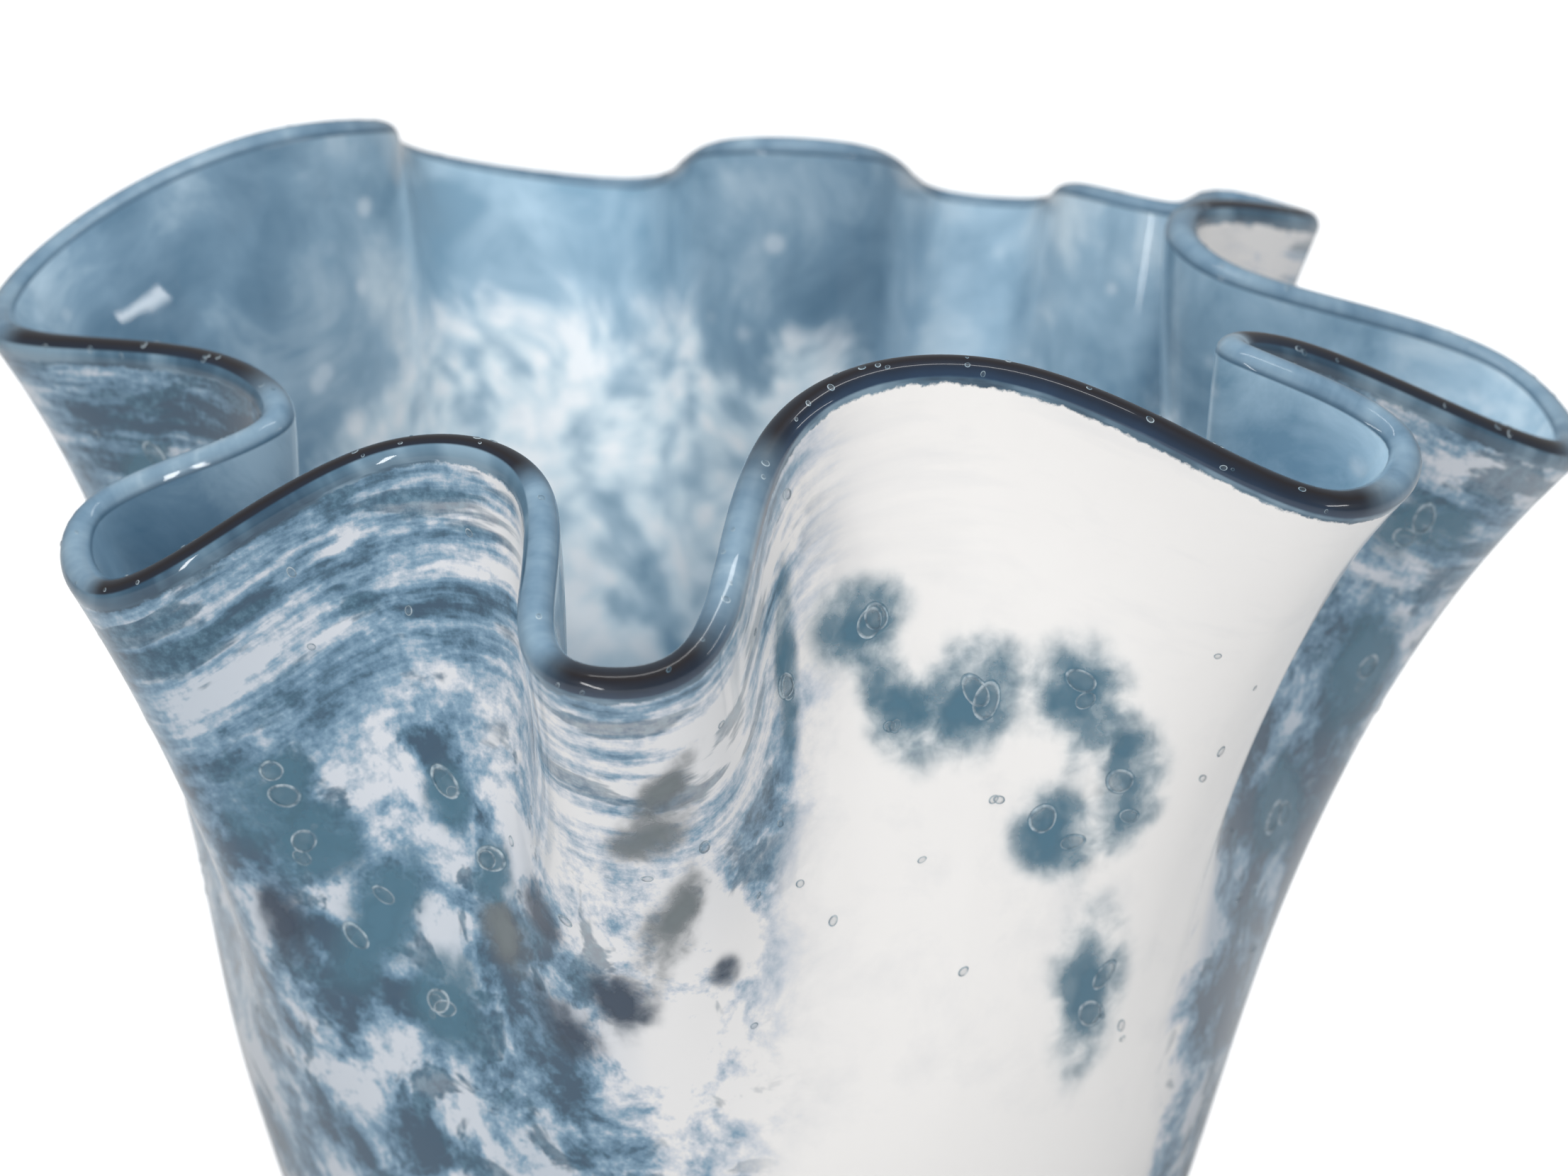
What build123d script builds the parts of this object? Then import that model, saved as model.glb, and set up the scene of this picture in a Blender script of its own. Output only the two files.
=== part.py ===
from build123d import *
import os

import numpy as np

# A handkerchief bowl: a round foot and body that open into a folded lip.
# The wall is four kinds of glass fused together: a thick blue lining inside, a thin white opal
# skin over it, coloured chips melted into the outside, and a clear casing over everything.
# A clear pad under the body is the foot.
# Millimetres. Z is up, the table is at Z = 0 and the foot is centred on the origin.

# ---- Size of the whole bowl
LIP_LEVEL = 163.0        # mean height of the lobe tips above the table
LIP_SHIFT = 4.0          # the lip sits this far towards +X of the foot
FOOT_RADIUS = 46.0       # flat ground disc the bowl rests on
SHOULDER_RADIUS = 76.5   # the round body just below the folds, at mid wall
SHOULDER_HEIGHT = 54.0
SHOULDER_LEAN = 15.0     # degrees the body leans outward there

# ---- Glass thicknesses
WALL = 5.2               # whole wall, lining to casing
CASING_WALL = 1.5        # clear casing on the wall
CASING_FLOOR = 3.0       # clear casing under the foot
OPAL = 0.4               # white skin
OPAL_EDGE = 0.05         # white skin where it ends below the lip
FLOOR = 8.0              # whole floor, table to inside
SEAM = 0.05              # gap left between fused layers so the solids don't overlap

# ---- Lobes and folds of the lip, counter-clockwise from the front, seen from above.
# Each is the lip's extreme point there:
# (azimuth degrees, reach from the lip's centre, height over LIP_LEVEL,
#  roundness, lean degrees, climb, flare degrees)
# Roundness is how broad the lip's curve is at that point, lean turns it off square,
# climb is how fast the lip rises past it, and flare is how far the wall leans out there.
FRONT_LOBE = (-99, 120, 0, 76, 2, 4, 33)
FRONT_RIGHT_CREST = (-77, 81, 31, 97, 3, 10, 3)
RIGHT_FRONT_LOBE = (-38, 115, 11, 83, 5, 11, 42)
RIGHT_FOLD = (-32, 85, 24, 69, -8, -16, 5)
RIGHT_LOBE = (3, 125, -5, 104, 10, 20, 48)
RIGHT_REAR_FOLD = (22, 73, 17, 76, -10, 12, 3)
REAR_RIGHT_LOBE = (44, 120, 5, 77, 0, 1, 33)
REAR_RIGHT_FOLD = (52, 99, 8, 70, -1, 2, 15)
REAR_LOBE = (71, 119, -3, 72, 0, -1, 32)
REAR_FOLD = (87, 84, 16, 84, 0, 2, 3)
REAR_LEFT_LOBE = (110, 119, 2, 128, -5, 27, 32)
REAR_LEFT_FOLD = (140, 92, 26, 81, -8, 12, 9)
LEFT_LOBE = (173, 120, 10, 78, 4, -6, 36)
LEFT_FOLD = (205, 81, 13, 83, 2, -7, 3)
LEFT_FRONT_LOBE = (210, 115, -6, 87, -14, -18, 29)
FRONT_LEFT_CREST = (241, 85, 18, 82, 2, 0, 4)

LIP = np.array([
    FRONT_LOBE, FRONT_RIGHT_CREST, RIGHT_FRONT_LOBE, RIGHT_FOLD,
    RIGHT_LOBE, RIGHT_REAR_FOLD, REAR_RIGHT_LOBE, REAR_RIGHT_FOLD,
    REAR_LOBE, REAR_FOLD, REAR_LEFT_LOBE, REAR_LEFT_FOLD,
    LEFT_LOBE, LEFT_FOLD, LEFT_FRONT_LOBE, FRONT_LEFT_CREST,
], dtype=float)
COUNT = len(LIP)         # a place along the lip is a turn number from 0 to COUNT

# ---- How finely the surfaces are described
POINTS_PER_TURN = 7
SHOULDER_RISE = 0.30     # rise runs from 0 at the foot to 1 at the lip
OPAL_TOP = 0.98          # the white skin stops a little below the lip
OPAL_FULL = 0.93         # and has its full thickness from here down
PAD_RISE = 0.10          # the clear foot pad reaches up to here, and the casing starts there
PAD_GAP = 0.001
END_STEP = 0.006         # a second ring this close to an end keeps a surface's slope true there
FOOT_RISES = [0.0, END_STEP, 0.05, PAD_RISE, 0.15, 0.20, 0.25, SHOULDER_RISE]
WALL_RISES = list(np.linspace(SHOULDER_RISE, OPAL_TOP, 16))[1:-1] + [OPAL_TOP - 2.0 * END_STEP, OPAL_TOP]
RISES = FOOT_RISES + WALL_RISES + [0.993]

# ---- Coloured chips, each (turn, rise, width, height, tilt degrees)
BLUE_CHIPS = [
    (0.67, 0.85, 5, 13, 5), (0.92, 0.83, 9, 8, 0), (1.00, 0.76, 7, 11, 20), (1.15, 0.76, 11, 9, 35),
    (1.42, 0.77, 10, 10, 10), (1.62, 0.71, 6, 13, 0), (1.42, 0.66, 8, 9, -10), (1.67, 0.53, 8, 16, 0),
    (14.42, 0.75, 11, 6, 20), (14.55, 0.69, 10, 6, -20), (14.75, 0.60, 13, 9, 30),
    (15.05, 0.53, 9, 8, 0), (15.00, 0.71, 6, 5, 0), (15.20, 0.66, 6, 6, 0),
    (3.50, 0.90, 13, 6, 15), (3.50, 0.75, 10, 14, 20), (3.25, 0.60, 11, 9, 0), (3.15, 0.84, 4, 7, 0),
    (12.60, 0.90, 8, 5, 10), (12.80, 0.76, 9, 7, -15),
]
OLIVE_CHIPS = [
    (0.08, 0.88, 8, 3, 35), (0.05, 0.82, 10, 4, 30), (0.08, 0.70, 5, 11, -10), (15.33, 0.62, 8, 6, 0),
    (13.95, 0.82, 7, 4, 20), (4.50, 0.64, 6, 8, 0),
]
DARK_CHIPS = [
    (15.56, 0.67, 6, 5, 20), (15.93, 0.61, 7, 6, 0), (15.68, 0.57, 7, 6, 0), (0.27, 0.63, 3, 3, 0),
    (14.35, 0.62, 6, 8, 15), (12.45, 0.84, 7, 5, 0),
]
REAR_CHIP_TURNS = [5.6, 6.0, 7.4, 8.3, 9.2, 10.1, 11.0, 11.8]
CHIP_DEPTH = 1.82        # middle of a chip, outward from mid wall
CHIP_THICKNESS = 0.7
CHIP_POINTS = 12


# ---- Shape of the wall
def unit(vectors):
    return vectors / np.linalg.norm(vectors, axis=1)[:, None]


def smooth_step(low, high, value):
    part = np.clip((value - low) / (high - low), 0.0, 1.0)
    return part * part * (3.0 - 2.0 * part)


def curve_between(start, start_pull, end_pull, end, part):
    """A cubic curve whose two middle points pull it away from the ends."""
    part = part[:, None]
    rest = 1.0 - part
    return (rest ** 3 * start + 3 * rest ** 2 * part * start_pull
            + 3 * rest * part ** 2 * end_pull + part ** 3 * end)


def lip_point(turn):
    """Middle of the lip, measured from the lip's own centre line."""
    turn = turn % COUNT
    first = np.floor(turn).astype(int) % COUNT
    second = (first + 1) % COUNT
    azimuth = np.radians(LIP[:, 0])
    heading = azimuth + np.radians(LIP[:, 4])
    places = np.stack([LIP[:, 1] * np.cos(azimuth), LIP[:, 1] * np.sin(azimuth), LIP_LEVEL + LIP[:, 2]], 1)
    pulls = np.stack([-LIP[:, 3] * np.sin(heading), LIP[:, 3] * np.cos(heading), LIP[:, 5]], 1) / 3.0
    return curve_between(places[first], places[first] + pulls[first],
                         places[second] - pulls[second], places[second], turn - np.floor(turn))


def lip_flare(turn):
    """Degrees the wall leans outward at the lip, easing from one lobe or fold to the next."""
    turn = turn % COUNT
    first = np.floor(turn).astype(int) % COUNT
    second = (first + 1) % COUNT
    share = smooth_step(0.0, 1.0, turn - np.floor(turn))
    return LIP[first, 6] * (1.0 - share) + LIP[second, 6] * share


def foot_azimuth(turn):
    """The folds fan out evenly towards the foot: the lip's azimuth averaged over its neighbours."""
    step = 2.0 * np.pi / COUNT
    reaches = np.linspace(-2.0, 2.0, 17)
    weights = np.exp(-0.5 * reaches ** 2)
    total = np.zeros(len(turn))
    for reach, weight in zip(reaches, weights):
        point = lip_point(turn + reach)
        azimuth = np.arctan2(point[:, 1], point[:, 0])
        even = step * (turn + reach) + np.radians(FRONT_LOBE[0])
        total += weight * (np.mod(azimuth - even + np.pi, 2.0 * np.pi) - np.pi)
    return step * turn + np.radians(FRONT_LOBE[0]) + total / weights.sum()


def wall_point(turn, rise):
    """Middle of the wall at a place along the lip and a rise from foot to lip."""
    azimuth = foot_azimuth(turn)
    outward = np.stack([np.cos(azimuth), np.sin(azimuth), np.zeros(len(turn))], 1)
    up = np.array([0.0, 0.0, 1.0])
    lean = np.radians(SHOULDER_LEAN)
    along_body = np.sin(lean) * outward + np.cos(lean) * up
    foot = FOOT_RADIUS * outward + 0.5 * WALL * up
    shoulder = SHOULDER_RADIUS * outward + SHOULDER_HEIGHT * up
    lower = curve_between(foot, foot + 18.0 * outward, shoulder - 22.0 * along_body, shoulder,
                          rise / SHOULDER_RISE)

    # Above the shoulder a lobe flares outward and a fold climbs almost straight up.
    lip = lip_point(turn)
    level = lip * [1, 1, 0]
    flare = np.radians(lip_flare(turn))[:, None]
    lip_run = np.sin(flare) * unit(level) + np.cos(flare) * up
    lip = lip + np.array([LIP_SHIFT, 0.0, 0.0])
    pull = np.linalg.norm(lip - shoulder, axis=1)[:, None] / 3.0
    upper = curve_between(shoulder, shoulder + pull * along_body, lip - pull * lip_run, lip,
                          (rise - SHOULDER_RISE) / (1.0 - SHOULDER_RISE))
    return np.where((rise < SHOULDER_RISE)[:, None], lower, upper)


def wall_directions(turn, rise):
    """Unit vectors out of the wall, and up the wall square to the lip."""
    small = 1e-3
    along = wall_point(turn + small, rise) - wall_point(turn - small, rise)
    climb = wall_point(turn, np.minimum(rise + small, 1.0)) - wall_point(turn, np.maximum(rise - small, 0.0))
    outward = unit(np.cross(along, climb))
    return outward, unit(np.cross(outward, along))


# ---- Where the layers meet, as a distance outward from mid wall
def bowl_inside(rise):
    return -0.5 * WALL - (FLOOR - WALL) * (1.0 - smooth_step(0.0, SHOULDER_RISE, rise))


def lining_outside(rise):
    wall = 0.5 * WALL - CASING_WALL - OPAL - 2.0 * SEAM
    floor = 0.5 * WALL - CASING_FLOOR - OPAL - 2.0 * SEAM
    return floor + (wall - floor) * smooth_step(0.0, SHOULDER_RISE, rise)


def opal_thickness(rise):
    """Full thickness over most of the wall, thinning to an edge below the lip."""
    return OPAL_EDGE + (OPAL - OPAL_EDGE) * (1.0 - smooth_step(OPAL_FULL, OPAL_TOP, rise))


def opal_inside(rise):
    return lining_outside(rise) + SEAM


def casing_inside(rise):
    """Passes over the white skin, then closes onto the lining above it."""
    over_opal = opal_inside(rise) + opal_thickness(rise) + SEAM
    return over_opal if rise <= OPAL_TOP else lining_outside(rise) + SEAM


# ---- Closed rings of points that the solids are drawn through
TURNS = np.arange(COUNT * POINTS_PER_TURN) / POINTS_PER_TURN


def wall_ring(rise, outward_offset):
    rises = np.full(len(TURNS), float(rise))
    outward, _ = wall_directions(TURNS, rises)
    return wall_point(TURNS, rises) + outward_offset * outward


def lip_ring(angle, centre, half_width, height):
    """Ring round the fire-polished edge: 180 degrees faces into the bowl, 0 faces out."""
    rises = np.ones(len(TURNS))
    outward, upward = wall_directions(TURNS, rises)
    angle = np.radians(angle)
    across = centre + half_width * np.cos(angle)
    return wall_point(TURNS, rises) + across * outward + height * np.sin(angle) * upward


def closed_wire(points):
    """A smooth closed curve; every curve is spaced alike so the rings line up."""
    corners = [Vector(*point) for point in points]
    spacing = [float(number) for number in range(len(points) + 1)]
    return Wire([Edge.make_spline(corners, periodic=True, parameters=spacing)])


def chip_solid(turn, rise, width, height, tilt, extra=0.0):
    """A flattened pebble of glass that follows the curve of the wall."""
    centre_turn = np.array([turn])
    centre_rise = np.array([rise])
    step = 1e-3
    per_turn = np.linalg.norm(wall_point(centre_turn + step, centre_rise)
                              - wall_point(centre_turn, centre_rise)) / step
    per_rise = np.linalg.norm(wall_point(centre_turn, centre_rise + step)
                              - wall_point(centre_turn, centre_rise)) / step
    angles = 2.0 * np.pi * np.arange(CHIP_POINTS) / CHIP_POINTS
    wobble = 1.0 + 0.13 * np.sin(2.0 * angles + 9.0 * turn) + 0.09 * np.sin(3.0 * angles + 7.0 * rise)
    slope = np.radians(tilt)

    def slice_at(scale, depth):
        across = (0.5 * width + extra) * scale * wobble * np.cos(angles)
        upward = (0.5 * height + extra) * scale * wobble * np.sin(angles)
        turns = turn + (across * np.cos(slope) - upward * np.sin(slope)) / per_turn
        rises = rise + (across * np.sin(slope) + upward * np.cos(slope)) / per_rise
        outward, _ = wall_directions(turns, rises)
        return closed_wire(wall_point(turns, rises) + (CHIP_DEPTH + depth) * outward)

    def pole_at(depth):
        outward, _ = wall_directions(centre_turn, centre_rise)
        return Vertex(*(wall_point(centre_turn, centre_rise) + (CHIP_DEPTH + depth) * outward)[0])

    half = 0.5 * CHIP_THICKNESS + extra
    return Solid.make_loft([
        pole_at(-half), slice_at(0.6, -0.8 * half), slice_at(1.0, -0.15 * half),
        slice_at(1.0, 0.15 * half), slice_at(0.6, 0.8 * half), pole_at(half),
    ], ruled=True)


def rear_chips(colour):
    """Chips scattered over the side of the bowl that faces away from the front."""
    chips = []
    for number, turn in enumerate(REAR_CHIP_TURNS):
        rise = 0.55 + 0.11 * ((number * 2 + colour) % 4)
        width = 5 + 2 * ((number + colour) % 3)
        height = 5 + 2 * ((number + 2 * colour) % 3)
        chips.append((turn + 0.25 * colour, rise, width, height, 25 * colour - 20))
    return chips


def skin(rings):
    """One smooth surface drawn through a stack of rings."""
    return list(Shell.make_loft([closed_wire(ring) for ring in rings]).faces())


def closed_solid(skins, disc_rings):
    """A solid bounded by skins that share their end rings, and by flat discs at the foot."""
    faces = [face for one_skin in skins for face in one_skin]
    faces += [Face(closed_wire(ring)) for ring in disc_rings]
    return Solid(Shell(faces))


LINING_CENTRE = 0.5 * (bowl_inside(1.0) + lining_outside(1.0))
LINING_HALF = 0.5 * (lining_outside(1.0) - bowl_inside(1.0))
LINING_TOP = 1.7         # height of the lining's rounded edge over the middle of the lip

# ---- Blue lining: the thick inner glass, rounded over inside the lip
inside_rings = [wall_ring(rise, bowl_inside(rise)) for rise in RISES + [1.0]]
edge_rings = [lip_ring(angle, LINING_CENTRE, LINING_HALF, LINING_TOP)
              for angle in (180, 155, 130, 105, 80, 55, 28, 0)]
outside_rings = [wall_ring(rise, lining_outside(rise)) for rise in RISES + [1.0]]
with BuildPart() as blue_lining:
    add(closed_solid([skin(inside_rings), skin(edge_rings), skin(outside_rings)],
                     [inside_rings[0], outside_rings[0]]))
blue_lining.part.label = "blue_lining"

# ---- White opal skin: thin all over, stopping short of the lip
opal_rises = FOOT_RISES + WALL_RISES
inner_rings = [wall_ring(rise, opal_inside(rise)) for rise in opal_rises]
outer_rings = [wall_ring(rise, casing_inside(rise) - SEAM) for rise in opal_rises]
with BuildPart() as opal_skin:
    add(closed_solid([skin(inner_rings), skin([inner_rings[-1], outer_rings[-1]]), skin(outer_rings)],
                     [inner_rings[0], outer_rings[0]]))
opal_skin.part.label = "opal_skin"

# ---- Coloured chips: three colours, each its own set of pebbles
CHIP_SETS = {
    "blue_chips": BLUE_CHIPS + rear_chips(0),
    "olive_chips": OLIVE_CHIPS + rear_chips(1)[::3],
    "dark_chips": DARK_CHIPS + rear_chips(2)[1::2],
}

# ---- Clear glass outside the skin: rings inside and outside it, from the foot pad up round the lip
casing_rises = [PAD_RISE, PAD_RISE + END_STEP] + [rise for rise in RISES if rise > PAD_RISE]
casing_inner_rings = [wall_ring(rise, casing_inside(rise)) for rise in casing_rises]
casing_inner_rings += [lip_ring(angle, LINING_CENTRE, LINING_HALF + SEAM, LINING_TOP + SEAM)
                      for angle in (0, 25, 50, 75, 95, 115, 135)]
casing_outer_rings = [wall_ring(rise, 0.5 * WALL) for rise in casing_rises]
casing_outer_rings += [lip_ring(angle, 0.0, 0.5 * WALL, 0.5 * WALL)
                      for angle in (0, 26, 52, 78, 104, 128, 150)]

# ---- Clear foot pad: a shallow dish with a flat ground underside
pad_rises = [0.0, END_STEP, 0.5 * PAD_RISE, PAD_RISE - PAD_GAP - END_STEP, PAD_RISE - PAD_GAP]
pad_inner_rings = [wall_ring(rise, casing_inside(rise)) for rise in pad_rises]
pad_outer_rings = [wall_ring(rise, 0.5 * WALL) for rise in pad_rises]
with BuildPart() as clear_foot:
    add(closed_solid([skin(pad_inner_rings), skin([pad_inner_rings[-1], pad_outer_rings[-1]]),
                      skin(pad_outer_rings)],
                     [pad_inner_rings[0], pad_outer_rings[0]]))
clear_foot.part.label = "clear_foot"

# ---- Clear casing: the outer glass of the wall, with a pocket for every chip
pockets = [chip_solid(*chip, extra=SEAM) for chips in CHIP_SETS.values() for chip in chips]
with BuildPart() as clear_casing:
    add(closed_solid([skin(casing_inner_rings), skin(casing_outer_rings),
                      skin([casing_inner_rings[0], casing_outer_rings[0]]),
                      skin([casing_inner_rings[-1], casing_outer_rings[-1]])], []))
    add(pockets, mode=Mode.SUBTRACT)
clear_casing.part.label = "clear_casing"

os.makedirs("parts", exist_ok=True)
export_step(blue_lining.part, "parts/blue_lining.step")
export_step(opal_skin.part, "parts/opal_skin.step")
export_step(clear_foot.part, "parts/clear_foot.step")
export_step(clear_casing.part, "parts/clear_casing.step")
for name, chips in CHIP_SETS.items():
    with BuildPart() as chip_set:
        add([chip_solid(*chip) for chip in chips])
    chip_set.part.label = name
    export_step(chip_set.part, f"parts/{name}.step")
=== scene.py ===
import math

import bpy
import numpy as np
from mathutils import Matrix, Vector
from mathutils.bvhtree import BVHTree


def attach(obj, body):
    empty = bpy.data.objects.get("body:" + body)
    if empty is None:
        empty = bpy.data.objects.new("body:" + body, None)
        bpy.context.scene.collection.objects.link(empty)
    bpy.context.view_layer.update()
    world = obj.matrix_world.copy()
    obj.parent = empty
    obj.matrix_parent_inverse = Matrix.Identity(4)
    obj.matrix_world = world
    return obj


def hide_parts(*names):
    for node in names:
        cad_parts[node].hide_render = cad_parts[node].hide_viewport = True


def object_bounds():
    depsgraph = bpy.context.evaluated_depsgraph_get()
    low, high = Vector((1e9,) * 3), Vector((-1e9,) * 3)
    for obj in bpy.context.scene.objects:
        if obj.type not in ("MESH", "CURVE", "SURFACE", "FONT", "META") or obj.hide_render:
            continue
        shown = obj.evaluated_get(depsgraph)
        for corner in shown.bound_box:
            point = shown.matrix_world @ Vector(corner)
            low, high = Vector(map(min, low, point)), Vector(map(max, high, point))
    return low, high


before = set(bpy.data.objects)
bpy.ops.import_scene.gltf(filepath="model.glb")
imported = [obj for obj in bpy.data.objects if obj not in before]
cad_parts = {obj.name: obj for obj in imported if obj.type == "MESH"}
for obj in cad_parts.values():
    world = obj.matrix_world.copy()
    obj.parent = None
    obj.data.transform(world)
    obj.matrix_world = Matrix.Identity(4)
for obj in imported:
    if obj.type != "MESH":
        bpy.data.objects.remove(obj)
cad_low, cad_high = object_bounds()
rng = np.random.default_rng(12)

MM = 0.001
UP = np.array([0.0, 0.0, 1.0])

# ---- How finely the glass is meshed
COLUMNS = 840            # round the lip
WALL_ROWS = 132          # from the foot ring to the lip
LIP_ROWS = 22            # over the rounded edge
BACK_STEP = 11           # the hidden back of a piece keeps one row in this many
CAP_RINGS = 7            # rings in the flat middle of the foot and of the floor
SEARCH_COLUMNS = 9000    # points on the back of the lining that are searched for the nearest one

# ---- Wall of the CAD part, used to aim at its surfaces
WALL = 5.2 * MM
LINING = 3.2 * MM        # the blue lining's share of the wall
EXTRA_AT_FOOT = 2.8 * MM # the wall is this much thicker at the foot than above the shoulder
FOOT_RADIUS = 46 * MM
FOOT_PULL = 18 * MM      # how far the curve runs out flat from the foot
SHOULDER_RADIUS = 76.5 * MM
SHOULDER_HEIGHT = 54 * MM
SHOULDER_LEAN = math.radians(15)
SHOULDER_PULL = 22 * MM  # how far the curve comes up straight into the shoulder
SHOULDER_RISE = 0.30     # share of the wall's rows that lie below the shoulder
PAD_RISE = 0.10          # the clear foot pad ends and the casing starts here
LIP_CENTRE = np.array([4.0, 0.0, 0.0]) * MM
FOLD_REACH = 84 * MM     # how far out the lip is in a deep fold
REACH_RANGE = 36 * MM    # how much further out it is at the tip of a lobe
FOLD_FLARE = 3.0         # degrees
LOBE_FLARE = 30.0        # degrees more than in a fold
CASING_END = 150         # degrees over the lip where the casing ends on the lining

# ---- Where the hidden backs of the pieces lie, as a share of the way from inside to outside
LINING_SHARE = 0.60
OPAL_SHARE = 0.63

# ---- Chips and bubbles
LENS_RINGS = 9
LENS_SPOKES = 36
LENS_ROOT = 0.25 * MM    # the underside of a lens lies this far inside the wall
CHIP_GROWTH = 2.15       # the melted edge spreads past the CAD pebble
CHIP_STRETCH = 1.30      # and runs further up and down than sideways
CHIP_RISE = 0.10 * MM
BUBBLES_PER_CHIP = 2
WALL_BUBBLES = 150
LIP_BUBBLES = 150


# =====================================================================================
# Reading the frame
# =====================================================================================
def labels(triangles, count):
    """A number for each vertex, the same for all vertices joined by triangles."""
    label = np.arange(count)
    while True:
        least = label[triangles].min(axis=1)
        new = label.copy()
        for corner in range(3):
            np.minimum.at(new, triangles[:, corner], least)
        new = new[new]
        if (new == label).all():
            return label
        label = new


def weld(points, triangles):
    """The same mesh with points that are within a micrometre made one."""
    places = np.round(points / 1e-6).astype(np.int64)
    _, first, renumbered = np.unique(places, axis=0, return_index=True, return_inverse=True)
    return points[first], renumbered.reshape(-1)[triangles]


def node_triangles(name):
    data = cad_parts[name].data
    points = np.zeros(len(data.vertices) * 3)
    data.vertices.foreach_get("co", points)
    data.calc_loop_triangles()
    triangles = np.zeros(len(data.loop_triangles) * 3, dtype=np.int32)
    data.loop_triangles.foreach_get("vertices", triangles)
    return points.reshape(-1, 3), triangles.reshape(-1, 3)


def split(points, triangles):
    """The separate surfaces of a mesh, largest first, each with its seams welded."""
    label = labels(triangles, len(points))
    found = []
    for value in np.unique(label[triangles[:, 0]]):
        own = triangles[label[triangles[:, 0]] == value]
        used, renumbered = np.unique(own, return_inverse=True)
        found.append(weld(points[used], renumbered.reshape(-1, 3)))
    return sorted(found, key=lambda surface: -len(surface[0]))


def merge(surfaces):
    """One mesh from several."""
    starts = np.cumsum([0] + [len(points) for points, _ in surfaces[:-1]])
    points = np.vstack([points for points, _ in surfaces])
    triangles = np.vstack([triangles + start for start, (_, triangles) in zip(starts, surfaces)])
    return points, triangles


def tree_of(surface):
    points, polygons = surface
    return BVHTree.FromPolygons(points.tolist(), polygons.tolist())


def boundary_loops(points, triangles):
    """Closed boundary curves of an open surface."""
    sides = np.vstack([triangles[:, [0, 1]], triangles[:, [1, 2]], triangles[:, [2, 0]]])
    edges = np.sort(sides, axis=1)
    edges, counts = np.unique(edges[edges[:, 0] != edges[:, 1]], axis=0, return_counts=True)
    links = {}
    for a, b in edges[counts == 1]:
        links.setdefault(a, []).append(b)
        links.setdefault(b, []).append(a)
    loops = []
    left = set(links)
    while left:
        chain = [min(left)]
        left.discard(chain[0])
        following = [v for v in links[chain[-1]] if v in left]
        while following:
            chain.append(following[0])
            left.discard(following[0])
            following = [v for v in links[chain[-1]] if v in left]
        loops.append(points[chain])
    return loops


def top_loop(surface):
    return max(boundary_loops(*surface), key=lambda loop: loop[:, 2].mean())


# =====================================================================================
# Curves and grids
# =====================================================================================
def unit(vectors):
    return vectors / np.maximum(np.linalg.norm(vectors, axis=-1, keepdims=True), 1e-12)


def smooth_step(low, high, value):
    part = np.clip((value - low) / (high - low), 0.0, 1.0)
    return part * part * (3.0 - 2.0 * part)


def curve_between(start, start_pull, end_pull, end, part):
    """A cubic curve that leaves towards one pull point and arrives from the other."""
    rest = 1.0 - part
    return (rest ** 3 * start + 3 * rest ** 2 * part * start_pull
            + 3 * rest * part ** 2 * end_pull + part ** 3 * end)


def even_loop(loop, count):
    """Evenly spaced points on a smooth closed curve through the loop, counter-clockwise from the front."""
    area = np.sum(loop[:, 0] * np.roll(loop[:, 1], -1) - np.roll(loop[:, 0], -1) * loop[:, 1])
    if area < 0:
        loop = loop[::-1]
    loop = np.roll(loop, -np.argmin(loop[:, 1]), axis=0)
    step = np.linalg.norm(np.roll(loop, -1, axis=0) - loop, axis=1)
    before = np.roll(step, 1)[:, None]
    after = step[:, None]
    slope = (np.roll(loop, -1, axis=0) - loop) / after
    tangent = (slope * before + np.roll(slope, 1, axis=0) * after) / (before + after)
    at = np.concatenate([[0.0], np.cumsum(step)])
    wanted = np.arange(count) / count * at[-1]
    first = np.searchsorted(at, wanted, side="right") - 1
    second = (first + 1) % len(loop)
    length = step[first][:, None]
    part = (wanted - at[first])[:, None] / length
    return curve_between(loop[first], loop[first] + tangent[first] * length / 3,
                         loop[second] - tangent[second] * length / 3, loop[second], part)


def blur(values, spread, axis, closed):
    """Gaussian blur along one axis of a grid."""
    width = int(3 * spread)
    pads = [(0, 0)] * values.ndim
    pads[axis] = (width, width)
    if closed:
        padded = np.pad(values, pads, mode="wrap")
    else:
        padded = np.pad(values, pads, mode="reflect", reflect_type="odd")
    weights = np.exp(-0.5 * (np.arange(-width, width + 1) / spread) ** 2)
    weights /= weights.sum()
    out = np.zeros_like(values)
    for number, weight in enumerate(weights):
        out += weight * np.take(padded, range(number, number + values.shape[axis]), axis=axis)
    return out


def grid_normals(grid):
    """Outward normals of a grid whose rows climb the outside of the wall."""
    along = np.roll(grid, -1, axis=1) - np.roll(grid, 1, axis=1)
    climb = np.empty_like(grid)
    climb[1:-1] = grid[2:] - grid[:-2]
    climb[0] = grid[1] - grid[0]
    climb[-1] = grid[-1] - grid[-2]
    return unit(np.cross(along, climb))


def snap(grid, tree):
    """Nearest point on a surface for every point of a grid."""
    out = [tree.find_nearest(point)[0] for point in grid.reshape(-1, 3)]
    return np.array(out).reshape(grid.shape)


def settle(grid, tree):
    """Lays a grid on a CAD surface. The offset is blurred so the CAD's facets don't show in the gloss."""
    for spread in (5.0, 3.5):
        normals = grid_normals(grid)
        offset = np.sum((snap(grid, tree) - grid) * normals, axis=2)
        offset = blur(blur(offset, spread, 1, True), spread, 0, False)
        grid = grid + offset[:, :, None] * normals
    return grid


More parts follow.
